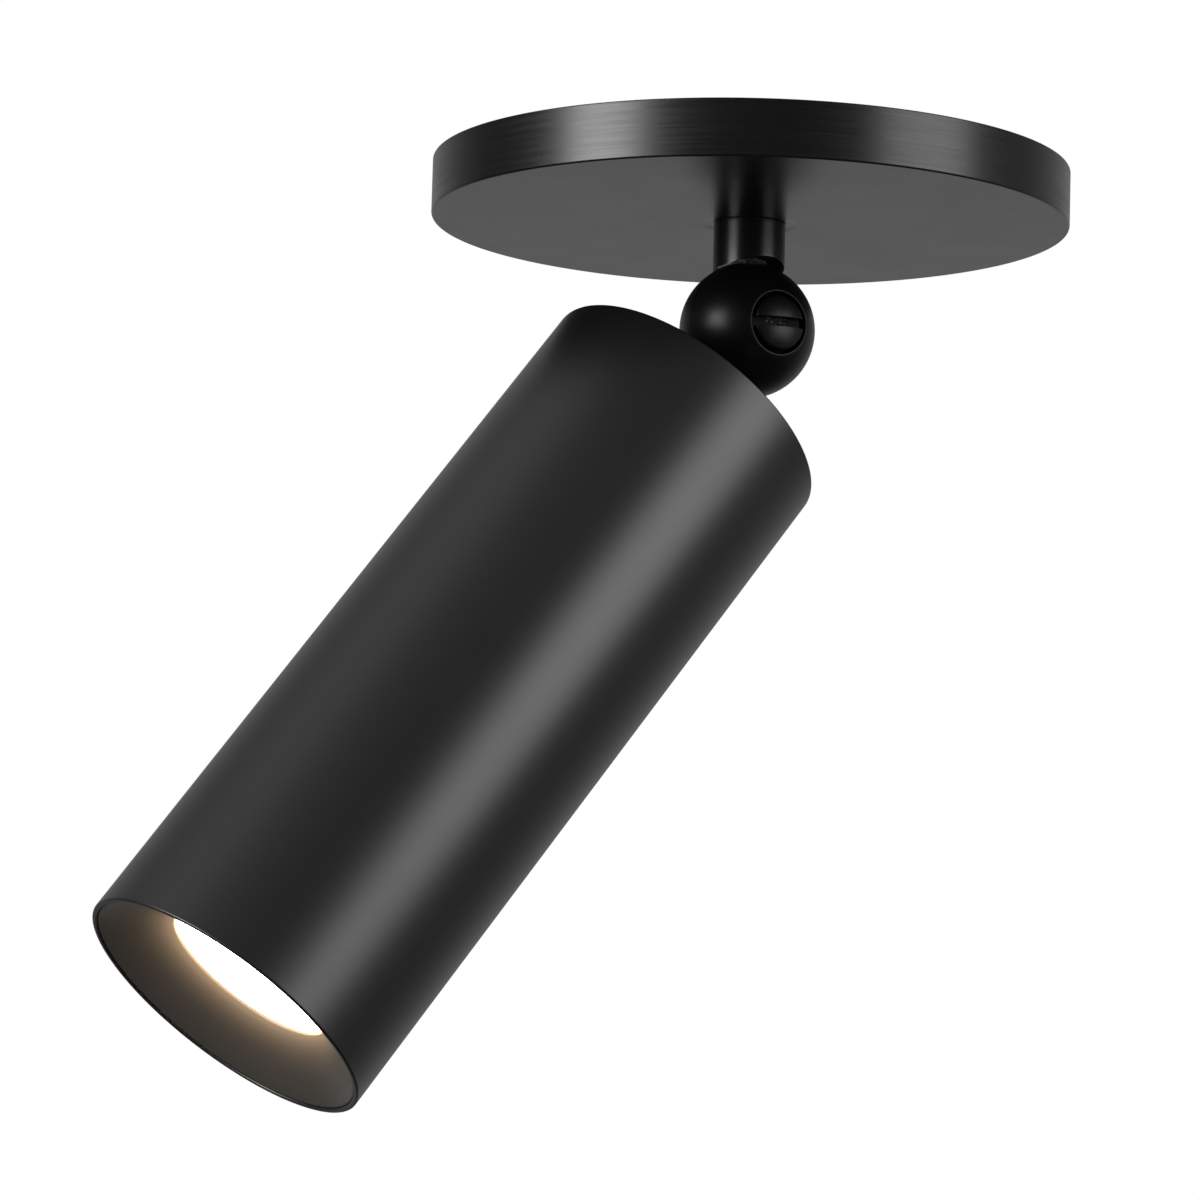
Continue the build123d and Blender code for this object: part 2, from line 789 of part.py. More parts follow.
# Leads from the driver's end, down the heat sink's slot, to the board's edge
lead_height = holder_start + lead_radius + face_gap
lead_end = board_size / 2 - lead_radius
for label, side in (("lead_positive", 1), ("lead_negative", -1)):
    lead_plane = Plane(
        origin=ball_centre + head_side * side * lead_spread, x_dir=(0, -1, 0), z_dir=head_side
    )
    with BuildPart() as lead:
        with BuildLine(lead_plane) as lead_path:
            FilletPolyline(
                (lead_offset, driver_end),
                (lead_offset, lead_height),
                (lead_end, lead_height),
                radius=lead_bend,
            )
        with BuildSketch(Plane(lead_path.line @ 0, z_dir=lead_path.line % 0)):
            Circle(lead_radius)
        sweep(path=lead_path.line)
    save(lead.part, label)
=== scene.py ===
import json
import math

import bmesh
import bpy
from mathutils import Matrix, Vector


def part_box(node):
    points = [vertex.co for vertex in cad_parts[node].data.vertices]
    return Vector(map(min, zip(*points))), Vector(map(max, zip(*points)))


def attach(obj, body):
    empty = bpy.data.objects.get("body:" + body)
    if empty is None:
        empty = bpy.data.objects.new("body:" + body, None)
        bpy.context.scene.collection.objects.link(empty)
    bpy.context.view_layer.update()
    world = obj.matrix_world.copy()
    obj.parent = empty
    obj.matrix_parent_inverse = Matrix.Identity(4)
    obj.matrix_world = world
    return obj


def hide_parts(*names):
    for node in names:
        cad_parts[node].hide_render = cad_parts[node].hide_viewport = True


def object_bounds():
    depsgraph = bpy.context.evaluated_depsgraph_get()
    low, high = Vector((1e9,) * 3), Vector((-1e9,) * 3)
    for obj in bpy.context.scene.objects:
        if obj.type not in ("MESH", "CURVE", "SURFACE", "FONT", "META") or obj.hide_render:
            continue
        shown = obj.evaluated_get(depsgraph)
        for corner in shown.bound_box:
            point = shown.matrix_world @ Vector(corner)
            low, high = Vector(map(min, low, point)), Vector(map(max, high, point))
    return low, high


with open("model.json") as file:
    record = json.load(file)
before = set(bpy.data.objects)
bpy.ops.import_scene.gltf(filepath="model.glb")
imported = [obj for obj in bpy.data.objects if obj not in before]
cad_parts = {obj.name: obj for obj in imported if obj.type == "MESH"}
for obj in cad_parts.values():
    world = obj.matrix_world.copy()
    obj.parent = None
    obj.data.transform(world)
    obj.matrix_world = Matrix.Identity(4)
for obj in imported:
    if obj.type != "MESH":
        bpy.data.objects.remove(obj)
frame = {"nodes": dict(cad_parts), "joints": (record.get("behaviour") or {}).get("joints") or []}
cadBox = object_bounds()
print("frame loaded:", len(frame["nodes"]), "nodes")

mm = 0.001
scene = bpy.context.scene
joints = {joint["name"]: joint for joint in frame["joints"]}
ballCentre = Vector(joints["tilt"]["pos_m"])
tiltAtRest = -math.radians(sum(joints["tilt"]["range_deg"]) / 2)  # the range is even about straight down

# The head is drawn hanging straight down from the ball, the screw standing up, and both are then turned
headTurn = Matrix.Translation(ballCentre) @ Matrix.Rotation(tiltAtRest, 4, "Y")
screwTurn = Matrix.Translation(ballCentre) @ Matrix.Rotation(math.radians(90), 4, "X")
upright = Matrix.Identity(4)


def reach(node, turn=upright):
    # lowest and highest point of a node along the turned Z axis, and its largest radius about it
    back = turn.inverted()
    points = [back @ vertex.co for vertex in frame["nodes"][node].data.vertices]
    heights = [point.z for point in points]
    return min(heights), max(heights), max(math.hypot(point.x, point.y) for point in points)


# Mesh helpers


def lathe(corners, steps=192, segments=5, closed=False):
    # corners are (radius, height, rounding) in metres, spun about Z
    mesh = bmesh.new()
    line = [mesh.verts.new((radius, 0, height)) for radius, height, rounding in corners]
    pairs = list(zip(line, line[1:]))
    if closed:
        pairs.append((line[-1], line[0]))
    for pair in pairs:
        mesh.edges.new(pair)
    for vertex, (radius, height, rounding) in zip(line, corners):
        if rounding:
            bmesh.ops.bevel(
                mesh,
                geom=[vertex],
                offset=rounding,
                segments=segments,
                profile=0.5,
                affect="VERTICES",
                material=-1,
            )
    bmesh.ops.spin(
        mesh,
        geom=mesh.verts[:] + mesh.edges[:],
        cent=(0, 0, 0),
        axis=(0, 0, 1),
        angle=2 * math.pi,
        steps=steps,
        use_merge=True,
    )
    near = 0.0005 * mm
    bmesh.ops.remove_doubles(mesh, verts=mesh.verts, dist=near)
    bmesh.ops.dissolve_degenerate(mesh, dist=near, edges=mesh.edges)
    return mesh


def arc(radius, start, end, count):
    # points on a circle about the origin, from one polar angle to another, in degrees
    points = []
    for index in range(count + 1):
        angle = math.radians(start + (end - start) * index / count)
        points.append((radius * math.cos(angle), radius * math.sin(angle), 0))
    return points


def block(width, depth, height):
    mesh = bmesh.new()
    bmesh.ops.create_cube(mesh, size=1)
    bmesh.ops.scale(mesh, vec=(width, depth, height), verts=mesh.verts)
    return mesh


def cone(segments, lowRadius, highRadius, depth):
    mesh = bmesh.new()
    bmesh.ops.create_cone(
        mesh,
        cap_ends=True,
        segments=segments,
        radius1=lowRadius,
        radius2=highRadius,
        depth=depth,
    )
    return mesh


def turned(mesh, turn):
    bmesh.ops.transform(mesh, matrix=turn, verts=mesh.verts)
    return mesh


def shape(mesh, name="cutter"):
    bmesh.ops.recalc_face_normals(mesh, faces=mesh.faces)
    data = bpy.data.meshes.new(name)
    mesh.to_mesh(data)
    mesh.free()
    made = bpy.data.objects.new(name, data)
    scene.collection.objects.link(made)
    return made


def carve(mesh, others, operation):
    # cuts, joins or crosses the first mesh with each of the others
    body = shape(mesh, "blank")
    tools = [shape(other) for other in others]
    for tool in tools:
        modifier = body.modifiers.new("carve", "BOOLEAN")
        modifier.operation = operation
        modifier.solver = "EXACT"
        modifier.object = tool
    bpy.context.view_layer.update()
    depsgraph = bpy.context.evaluated_depsgraph_get()
    data = bpy.data.meshes.new_from_object(body.evaluated_get(depsgraph))
    result = bmesh.new()
    result.from_mesh(data)
    for used in (body, *tools):
        usedData = used.data
        bpy.data.objects.remove(used)
        bpy.data.meshes.remove(usedData)
    bpy.data.meshes.remove(data)
    return result


def addTo(joined, mesh):
    held = bpy.data.meshes.new("held")
    mesh.to_mesh(held)
    mesh.free()
    joined.from_mesh(held)
    bpy.data.meshes.remove(held)


def makeObject(name, mesh, material, sharpAngle=40):
    bmesh.ops.recalc_face_normals(mesh, faces=mesh.faces)
    for face in mesh.faces:
        face.smooth = True
    limit = math.radians(sharpAngle)
    for edge in mesh.edges:
        edge.smooth = edge.is_boundary or edge.calc_face_angle(0) < limit
    made = shape(mesh, name)
    made.data.materials.append(material)
    return made


def softEdges(piece, width):
    modifier = piece.modifiers.new("softEdges", "BEVEL")
    modifier.width = width
    modifier.segments = 2
    modifier.limit_method = "ANGLE"
    modifier.angle_limit = math.radians(50)


def finishPiece(piece, body, node):
    modifier = piece.modifiers.new("evenNormals", "WEIGHTED_NORMAL")
    modifier.keep_sharp = True
    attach(piece, body)
    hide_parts(node)


# Shader expressions


class Link:
    # one output socket, so that maths on sockets is written as plain Python
    def __init__(self, tree, socket):
        self.tree = tree
        self.socket = socket

    def maths(self, operation, first, second):
        return self.tree.add("ShaderNodeMath", {"operation": operation}, {0: first, 1: second})

    def __add__(self, other):
        return self.maths("ADD", self, other)

    def __radd__(self, other):
        return self.maths("ADD", other, self)

    def __sub__(self, other):
        return self.maths("SUBTRACT", self, other)

    def __rsub__(self, other):
        return self.maths("SUBTRACT", other, self)

    def __mul__(self, other):
        return self.maths("MULTIPLY", self, other)

    def __rmul__(self, other):
        return self.maths("MULTIPLY", other, self)

    def __truediv__(self, other):
        return self.maths("DIVIDE", self, other)

    def __pow__(self, other):
        return self.maths("POWER", self, other)

    def __rpow__(self, other):
        return self.maths("POWER", other, self)


class Tree:
    # a node tree, emptied, with one method that adds any node
    def __init__(self, nodeTree):
        self.nodeTree = nodeTree
        nodeTree.nodes.clear()

    def add(self, kind, settings=None, sockets=None, output=0):
        node = self.nodeTree.nodes.new(kind)
        for key, value in (settings or {}).items():
            setattr(node, key, value)
        for key, value in (sockets or {}).items():
            if isinstance(value, Link):
                self.nodeTree.links.new(value.socket, node.inputs[key])
            else:
                node.inputs[key].default_value = value
        return Link(self, node.outputs[output]) if len(node.outputs) else node

    def output(self, kind, name):
        # one named output of a node that has no settings
        return Link(self, self.add(kind).socket.node.outputs[name])

    def blend(self, factor, first, second):
        return self.add("ShaderNodeMix", {"data_type": "RGBA"}, {0: factor, 6: first, 7: second}, 2)

    def smoothStep(self, value, low, high):
        settings = {"interpolation_type": "SMOOTHSTEP"}
        return self.add("ShaderNodeMapRange", settings, {"Value": value, "From Min": low, "From Max": high})

    def rise(self, value, span):
        # 0 to 1 over a span given in mm
        low, high = span
        return self.smoothStep(value, low * mm, high * mm)

    def noise(self, vector, scale, detail=2, roughness=0.5):
        sockets = {"Vector": vector, "Scale": scale, "Detail": detail, "Roughness": roughness}
        return self.add("ShaderNodeTexNoise", None, sockets)

    def parts(self, vector):
        split = self.add("ShaderNodeSeparateXYZ", None, {0: vector})
        return [Link(self, split.socket.node.outputs[i]) for i in range(3)]

    def join(self, x, y, z):
        return self.add("ShaderNodeCombineXYZ", None, {0: x, 1: y, 2: z})

    def aboutAxis(self, vector):
        # distance from the Z axis, and height along it
        x, y, z = self.parts(vector)
        return (x * x + y * y) ** 0.5, z


def grey(level):
    return (level, level, level, 1)


def newMaterial(name):
    material = bpy.data.materials.new(name)
    material.use_nodes = True
    return material, Tree(material.node_tree)


def placed(tree, turn):
    # Object coordinates read in the frame that the piece was drawn in
    coordinates = tree.add("ShaderNodeTexCoord", None, None, "Object")
    sockets = {
        "Vector": coordinates,
        "Location": turn.translation,
        "Rotation": turn.to_euler(),
    }
    return tree.add("ShaderNodeMapping", {"vector_type": "TEXTURE"}, sockets)


def shades(tree, factor, look):
    return tree.blend(factor, (*look["dark"], 1), (*look["light"], 1))


def finishMaterial(tree, sockets, height, look):
    bump = {"Height": height, "Strength": look["bump"], "Distance": look["bumpDepth"] * mm}
    sockets["Normal"] = tree.add("ShaderNodeBump", None, bump)
    shader = tree.add("ShaderNodeBsdfPrincipled", None, sockets)
    tree.add("ShaderNodeOutputMaterial", None, {"Surface": shader})


# Camera

cameraLook = {
    "lens": 142.86,  # mm on a sensor 36 mm wide
    "sensor": 36,
    "place": (-0.46894, -0.75251, -0.19193),
    "yaw": 30.23,  # degrees, from +Y towards +X
    "pitch": 7.007,
    "roll": 1.644,
}


def makeCamera(look):
    camera = bpy.data.objects.new("camera", bpy.data.cameras.new("camera"))
    scene.collection.objects.link(camera)
    camera.data.sensor_width = look["sensor"]
    camera.data.lens = look["lens"]
    turn = Matrix.Rotation(-math.radians(look["yaw"]), 4, "Z")
    turn = turn @ Matrix.Rotation(math.radians(90 + look["pitch"]), 4, "X")
    turn = turn @ Matrix.Rotation(math.radians(look["roll"]), 4, "Z")
    camera.matrix_world = Matrix.Translation(look["place"]) @ turn
    scene.camera = camera


makeCamera(cameraLook)
scene.view_settings.view_transform = "Standard"
print("camera placed")

# Studio: soft boxes, a grey tent that reflections see, and a pale floor under the object

studioLook = {
    "aim": Vector((-0.02, 0, -0.06)),
    "boxes": {
        # compass angle from +X towards +Y and height angle in degrees, distance, width, height, radiance
        "leftBox": (185, 8, 1.4, 0.64, 0.90, 10.0),
        "frontBox": (302, 7, 1.4, 0.84, 0.84, 4.1),
        "topBox": (158, 62, 1.3, 0.90, 0.90, 0.32),
    },
    # what reflections see of the tent, and where along a direction each tone comes in
    "frontTone": 0.04,
    "domeTone": 0.34,
    "domeSpan": (0.05, 0.9),
    "floorSpan": (-0.8, -0.2),
    "sideTone": 0.20,
    "sideSpan": (0.5, 0.9),
    "backTone": 0.44,
    "backSpan": (0.3, 0.95),
    "backWay": (0.5, 0.866),
    "fill": 0.27,
    "floorDrop": 0.30,  # below the object's lowest point
    "floorRadius": 1.5,
    "floorTone": 0.82,
    "fadeStart": 0.35,
    "fadeEnd": 1.1,
}


def makeSoftBox(name, aim, compass, rise, distance, width, height, radiance):
    lamp = bpy.data.lights.new(name, "AREA")
    lamp.shape = "RECTANGLE"
    lamp.size = width
    lamp.size_y = height
    lamp.energy = radiance * math.pi * width * height
    box = bpy.data.objects.new(name, lamp)
    scene.collection.objects.link(box)
    level = math.cos(math.radians(rise))
    east, north = math.cos(math.radians(compass)), math.sin(math.radians(compass))
    outward = Vector((level * east, level * north, math.sin(math.radians(rise))))
    box.rotation_mode = "QUATERNION"
    box.rotation_quaternion = outward.to_track_quat("Z", "Y")
    box.location = aim + outward * distance
    box.visible_camera = False


def seenDirectly(tree):
    # 1 for what the camera sees, straight on or through glass
    camera = tree.output("ShaderNodeLightPath", "Is Camera Ray")
    through = tree.output("ShaderNodeLightPath", "Is Transmission Ray")
    return camera.maths("MAXIMUM", camera, through)


def makeWorld(look):
    world = bpy.data.worlds.new("studio")
    scene.world = world
    world.use_nodes = True
    tree = Tree(world.node_tree)
    x, y, z = tree.parts(tree.add("ShaderNodeTexCoord", None, None, "Generated"))
    dome = tree.smoothStep(z, *look["domeSpan"]) * (look["domeTone"] - look["frontTone"])
    dome = dome + look["frontTone"]
    above = tree.smoothStep(z, *look["floorSpan"])
    beside = tree.smoothStep(x, *look["sideSpan"]) * above
    east, north = look["backWay"]
    behind = tree.smoothStep(x * east + y * north, *look["backSpan"]) * above
    tent = dome + beside * (look["sideTone"] - dome)
    tent = tent + behind * (look["backTone"] - tent)
    glossy = tree.output("ShaderNodeLightPath", "Is Glossy Ray")
    plain = seenDirectly(tree)
    lit = glossy * tent + (1 - glossy) * look["fill"]
    strength = plain + (1 - plain) * lit
    background = tree.add("ShaderNodeBackground", None, {"Color": grey(1), "Strength": strength})
    tree.add("ShaderNodeOutputWorld", None, {"Surface": background})


def makeFloor(look):
    material, tree = newMaterial("floorPale")
    radius = tree.aboutAxis(tree.add("ShaderNodeTexCoord", None, None, "Object"))[0]
    fade = tree.smoothStep(radius, look["fadeStart"], look["fadeEnd"])
    paint = tree.add("ShaderNodeBsdfDiffuse", None, {"Color": grey(look["floorTone"])})
    white = tree.add("ShaderNodeEmission", None, {"Color": grey(1), "Strength": 1})
    seen = tree.add("ShaderNodeMixShader", None, {0: fade * seenDirectly(tree), 1: paint, 2: white})
    clear = tree.add("ShaderNodeBsdfTransparent")
    underneath = tree.output("ShaderNodeNewGeometry", "Backfacing")
    surface = tree.add("ShaderNodeMixShader", None, {0: underneath, 1: seen, 2: clear})
    tree.add("ShaderNodeOutputMaterial", None, {"Surface": surface})
    mesh = bmesh.new()
    bmesh.ops.create_circle(mesh, cap_ends=True, segments=96, radius=look["floorRadius"])
    height = cadBox[0].z - look["floorDrop"]
    floor = makeObject("floor", turned(mesh, Matrix.Translation((0, 0, height))), material)
    floor.visible_glossy = False  # reflections see the tent below the object


makeWorld(studioLook)
for boxName, boxSizes in studioLook["boxes"].items():
    makeSoftBox(boxName, studioLook["aim"], *boxSizes)
makeFloor(studioLook)
print("studio lit")

# Finishes that several pieces share


def spunLines(tree, place, look):
    # long fine lines that run round the axis, as a spun or turned part has
    along, across = look["lineStretch"], look["lineScale"]
    x, y, z = tree.parts(place)
    radius = (x * x + y * y) ** 0.5
    vector = tree.join(x * along, y * along, (radius - z) * across)
    return tree.noise(vector, 1, 3, 0.6)


def paintLayers(tree, place, look):
    # colour, roughness, what the spun lines add to it, and height
    lines = spunLines(tree, place, look)
    grain = tree.noise(place, look["grainScale"], 3)
    patches = tree.noise(place, look["patchScale"], 4, 0.55)
    rough = look["roughness"] + (patches - 0.5) * look["roughPatches"]
    streaks = (lines - 0.5) * look["roughLines"]
    height = lines * look["lineHeight"] + grain * (1 - look["lineHeight"])
    return shades(tree, patches, look), rough, streaks, height


def satinBlack(name, look, turn=upright):
    material, tree = newMaterial(name)
    place = placed(tree, turn)
    colour, rough, streaks, height = paintLayers(tree, place, look)
    if "sideSpan" in look:
        # the side is brushed, the flat face hardly
        side = tree.rise(tree.aboutAxis(place)[0], look["sideSpan"])
        streaks = streaks * (look["faceLines"] + side * (1 - look["faceLines"]))
    sockets = {"Base Color": colour, "Roughness": rough + streaks, "IOR": look["ior"]}
    finishMaterial(tree, sockets, height, look)
    return material


def plainMetal(name, look, turn=upright):
    material, tree = newMaterial(name)
    place = placed(tree, turn)
    patches = tree.noise(place, look["patchScale"], 4, 0.6)
    stretched = tree.add("ShaderNodeMapping", None, {0: place, "Scale": look["stretch"]})
    scratches = tree.noise(stretched, 1, 3)
    rough = look["roughness"] + (scratches - 0.5) * look["roughScratches"]
    sockets = {
        "Base Color": shades(tree, patches, look),
        "Roughness": rough + (patches - 0.5) * look["roughPatches"],
        "Metallic": look["metallic"],
    }
    finishMaterial(tree, sockets, scratches, look)
    return material


def mouldedPlastic(name, look, turn=upright):
    material, tree = newMaterial(name)
    place = placed(tree, turn)
    grain = tree.noise(place, look["grainScale"], 4)
    sockets = {
        "Base Color": shades(tree, tree.noise(place, look["patchScale"]), look),
        "Roughness": look["roughness"] + (grain - 0.5) * look["roughGrain"],
    }
    finishMaterial(tree, sockets, grain, look)
    return material


zincLook = {
    "dark": (0.42, 0.42, 0.41),
    "light": (0.66, 0.66, 0.64),
    "roughness": 0.32,
    "roughScratches": 0.2,
    "roughPatches": 0.15,
    "metallic": 1,
    "patchScale": 350,
    "stretch": (400, 5000, 5000),
    "bump": 0.2,
    "bumpDepth": 0.02,
}
greenLook = {**zincLook, "dark": (0.03, 0.22, 0.07), "light": (0.06, 0.34, 0.12), "metallic": 0.7}

# Canopy: a spun pan, open to the ceiling

canopyPaint = {
    "dark": (0.0014, 0.0014, 0.0015),
    "light": (0.0024, 0.0024, 0.0025),
    "roughness": 0.31,
    "roughPatches": 0.05,
    "roughLines": 0.20,
    "ior": 1.5,
    "lineScale": 2600,
    "lineStretch": 40,
    "grainScale": 9000,
    "patchScale": 60,
    "lineHeight": 0.8,
    "sideSpan": (59.4, 59.9),
    "faceLines": 0.2,  # share of the brushing that the flat face shows
    "bump": 0.15,
    "bumpDepth": 0.01,
}
canopyShape = {
    "wall": 1.2,
    "edge": 0.4,
    "rimEdge": 0.25,
    "innerEdge": 0.9,
    "hole": 5.15,
    "holeEdge": 0.1,
    "dimpleRadius": 7.9,  # the sheet is pressed in a little round the neck
    "dimpleEnd": 9.1,
    "dimpleDepth": 0.15,
    "dimpleEdge": 0.35,
    "faceRing": 0.5,  # share of the radius where a ring of edges keeps the face even
}


def makeCanopy(look):
    low, high, radius = reach("canopy")
    wall = look["wall"] * mm
    dimple = low + look["dimpleDepth"] * mm
    soft = look["dimpleEdge"] * mm
    corners = [
        (look["hole"] * mm, dimple + wall, look["holeEdge"] * mm),
        (look["hole"] * mm, dimple, look["holeEdge"] * mm),
        (look["dimpleRadius"] * mm, dimple, soft),
        (look["dimpleEnd"] * mm, low, soft),
        (radius * look["faceRing"], low, 0),
        (radius, low, look["edge"] * mm),
        (radius, high, look["rimEdge"] * mm),
        (radius - wall, high, look["rimEdge"] * mm),
        (radius - wall, low + wall, look["innerEdge"] * mm),
        (look["dimpleEnd"] * mm, low + wall, soft),
        (look["dimpleRadius"] * mm, dimple + wall, soft),
    ]
    mesh = lathe(corners, steps=256, closed=True)
    canopy = makeObject("canopyPan", mesh, satinBlack("canopyBlack", canopyPaint))
    finishPiece(canopy, "canopy", "canopy")


makeCanopy(canopyShape)
print("canopy made")

# Crossbar hardware inside the canopy, seen only before it goes on the ceiling

hardwareShape = {
    "barEdge": 0.2,
    "nipple": 4.9,
    "nippleBore": 3.3,
    "nippleEdge": 0.15,
    "nipplePitch": 1.0,
    # shares of the pitch
    "threadDepth": 0.5,
    "flankStart": 0.08,
    "crestStart": 0.42,
    "nutThickness": 2.4,
    "nutChamfer": 0.9,
    "nutEdge": 0.25,
    "threadGap": 0.03,
    "screwPlace": 15.0,
    "screwShank": 2.4,
    "screwPitch": 0.8,
    "screwHead": 4.1,
    "screwHeadHeight": 2.2,
    "domeShare": 0.55,  # radius of the flatter middle of the screw's head, as a share
    "domeRise": 0.05,
    "domeEdge": 0.4,
    "rimHeight": 0.5,
    "rimEdge": 0.1,
    "slotWidth": 1.1,
    "slotDepth": 1.0,
}


def threadLine(look, radius, low, high, pitch):
    # profile of a thread as rings, from the lower end to the upper
    root = radius - pitch * look["threadDepth"]
    flank, crest = look["flankStart"], look["crestStart"]
    tooth = [(root, flank), (radius, crest), (radius, 1 - crest), (root, 1 - flank)]
    count = int((high - low) / pitch)
    start = low + (high - low - count * pitch) / 2
    line = [(root, low, 0)]
    for index in range(count):
        foot = start + index * pitch
        line += [(out, foot + pitch * share, 0) for out, share in tooth]
    return line + [(root, high, 0)]


def makeCrossbar(look, material):
    mesh = bmesh.new()
    mesh.from_mesh(frame["nodes"]["mounting_bracket"].data)
    near = 0.001 * mm
    flat = math.radians(1)
    bmesh.ops.remove_doubles(mesh, verts=mesh.verts, dist=near)
    bmesh.ops.dissolve_limit(mesh, angle_limit=flat, verts=mesh.verts, edges=mesh.edges)
    crossbar = makeObject("crossbar", mesh, material, sharpAngle=30)
    softEdges(crossbar, look["barEdge"] * mm)
    finishPiece(crossbar, "canopy", "mounting_bracket")


def makeNipple(look, material):
    low, high, radius = reach("center_nipple")
    bore = look["nippleBore"] * mm
    edge = look["nippleEdge"] * mm
    corners = [(bore, high, edge), (bore, low, edge)]
    corners += threadLine(look, radius, low, high, look["nipplePitch"] * mm)
    nipple = makeObject("threadedTube", lathe(corners, steps=96, closed=True), material, sharpAngle=25)
    finishPiece(nipple, "canopy", "center_nipple")


def makeNuts(look, material):
    low, high, radius = reach("bracket_lock_nuts")
    thickness = look["nutThickness"] * mm
    chamfer = look["nutChamfer"] * mm
    bore = (look["nipple"] + look["threadGap"]) * mm
    edge = look["nutEdge"] * mm
    joined = bmesh.new()
    for bottom in (low, high - thickness):
        top = bottom + thickness
        corners = [
            (bore, bottom, edge),
            (radius - chamfer, bottom, 0),
            (radius, bottom + chamfer * 0.5, 0),
            (radius, top - chamfer * 0.5, 0),
            (radius - chamfer, top, 0),
            (bore, top, edge),
        ]
        turn = Matrix.Translation((0, 0, bottom)) @ Matrix.Rotation(math.radians(30), 4, "Z")
        prism = turned(cone(6, radius, radius, 3 * thickness), turn)
        addTo(joined, carve(lathe(corners, steps=96, closed=True), [prism], "INTERSECT"))
    nuts = makeObject("barNuts", joined, material, sharpAngle=25)
    finishPiece(nuts, "canopy", "bracket_lock_nuts")


def makeGroundScrew(look, material):
    low, high = (corner.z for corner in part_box("ground_screw"))
    head = look["screwHead"] * mm
    seat = low + look["screwHeadHeight"] * mm
    soft = look["domeEdge"] * mm
    corners = [
        (0, low, 0),
        (head * look["domeShare"], low + look["domeRise"] * mm, soft),
        (head, seat - look["rimHeight"] * mm, soft),
        (head, seat, look["rimEdge"] * mm),
    ]
    corners += threadLine(look, look["screwShank"] * mm, seat, high, look["screwPitch"] * mm)
    corners += [(0, high, 0)]
    slot = block(3 * head, look["slotWidth"] * mm, 2 * look["slotDepth"] * mm)
    slot = turned(slot, Matrix.Translation((0, 0, low)))
    mesh = carve(lathe(corners, steps=72), [slot], "DIFFERENCE")
    mesh = turned(mesh, Matrix.Translation((look["screwPlace"] * mm, 0, 0)))
    screw = makeObject("earthScrew", mesh, material, sharpAngle=25)
    finishPiece(screw, "canopy", "ground_screw")


zinc = plainMetal("zinc", zincLook)
makeCrossbar(hardwareShape, zinc)
makeNipple(hardwareShape, zinc)
makeNuts(hardwareShape, zinc)
makeGroundScrew(hardwareShape, plainMetal("greenZinc", greenLook))
print("crossbar hardware made")

# Swivel: two half balls, each in one piece with its neck, clamped by a slotted screw

swivelPaint = {
    "dark": (0.0016, 0.0016, 0.0017),
    "light": (0.0028, 0.0028, 0.0029),
    "roughness": 0.25,
    "roughPatches": 0.05,
    "roughLines": 0.04,
    "ior": 1.29,
    "lineScale": 4000,
    "lineStretch": 60,
    "grainScale": 7000,
    "patchScale": 90,
    "lineHeight": 0.2,
    # the necks shine more than the ball, its narrow land and the screw's bore
    "ballEnd": (12.85, 13.1),
    "ballRoughness": 0.11,
    "landHeight": (11.0, 11.1),
    "landRadius": (6.2, 6.3),
    "landRoughness": 0.10,
    "boreHeight": (11.0, 11.15),
    "boreRadius": (5.86, 5.9),
    "boreRoughness": 0.5,
    "neckCoat": 0.75,
    "coatRoughness": 0.26,
    # bare metal inside the wire bore
    "wireRadius": (3.42, 3.46),
    "wireStart": (8.8, 8.9),
    "speckScale": 2600,
    "specks": (0.40, 0.62),
    "bareDark": 0.12,
    "bareLight": 0.9,
    "bareMetal": 0.4,
    "bareBump": 3.0,
    "bump": 0.10,
    "bumpDepth": 0.01,
}
screwFinish = {
    "dark": (0.0012, 0.0012, 0.0012),
    "light": (0.0028, 0.0028, 0.0026),
    "roughness": 0.34,
    "roughPatches": 0.20,
    "roughLines": 0.10,
    "ior": 1.32,
    "lineScale": 3000,
    "lineStretch": 400,
    "grainScale": 4000,
    "patchScale": 900,
    "lineHeight": 0.4,
    "bump": 0.35,
    "bumpDepth": 0.02,
    # the slot's floor is dull, with worn specks near its middle
    "slotFloor": (10.3, 10.4),
    "slotRoughness": 0.45,
    "speckScale": 2600,
    "specks": (0.60, 0.66),
    "wornReach": (1.6, 2.6),
    "wornTone": 0.16,
    "wornShine": 0.3,
}
swivelShape = {
    "ball": 12.8,
    "halfSeam": 0.1,
    "seamEdge": 0.3,
    "seamCorner": 0.05,
    "land": 6.2,
    "counterbore": 5.95,
    "floor": 7.6,
    "floorEdge": 0.2,
    "boreEdge": 0.06,
    "shank": 2.56,
    "neck": 6.8,
    "neckStart": 8.75,
    "wireBore": 3.4,
    "wireEdge": 0.1,
    "cope": 13.3,
    "copeEdge": 0.14,
}
upTurn = Matrix.Translation(ballCentre)
downTurn = headTurn @ Matrix.Rotation(math.pi, 4, "X")
knuckles = {
    "upperKnuckle": {
        "node": "swivel_upper_half",
        "body": "swivel",
        "finish": "upperBlack",
        "near": False,  # the half on the screw's side is the near one
        "ballTurn": Matrix.Translation(ballCentre) @ Matrix.Rotation(-math.pi / 2, 4, "X"),
        "neckTurn": upTurn,
        "length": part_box("swivel_upper_half")[1].z - ballCentre.z,
        "endEdge": 0.12,
    },
    "lowerKnuckle": {
        "node": "swivel_lower_half",
        "body": "head",
        "finish": "lowerBlack",
        "near": True,
        "ballTurn": screwTurn,
        "neckTurn": downTurn,
        "length": -reach("swivel_lower_half", headTurn)[0],
        "endEdge": 0.05,
    },
}
screwShape = {
    "head": 5.2,
    "seat": 8.42,
    "seatEdge": 0.15,
    "domeEdge": 0.4,
    "shank": 2.5,
    "end": -9.0,
    "endEdge": 0.4,
    "slotWidth": 1.9,
    "slotDepth": 1.6,
    "slotTurn": 2.0,
    "slotEdge": 0.08,
}


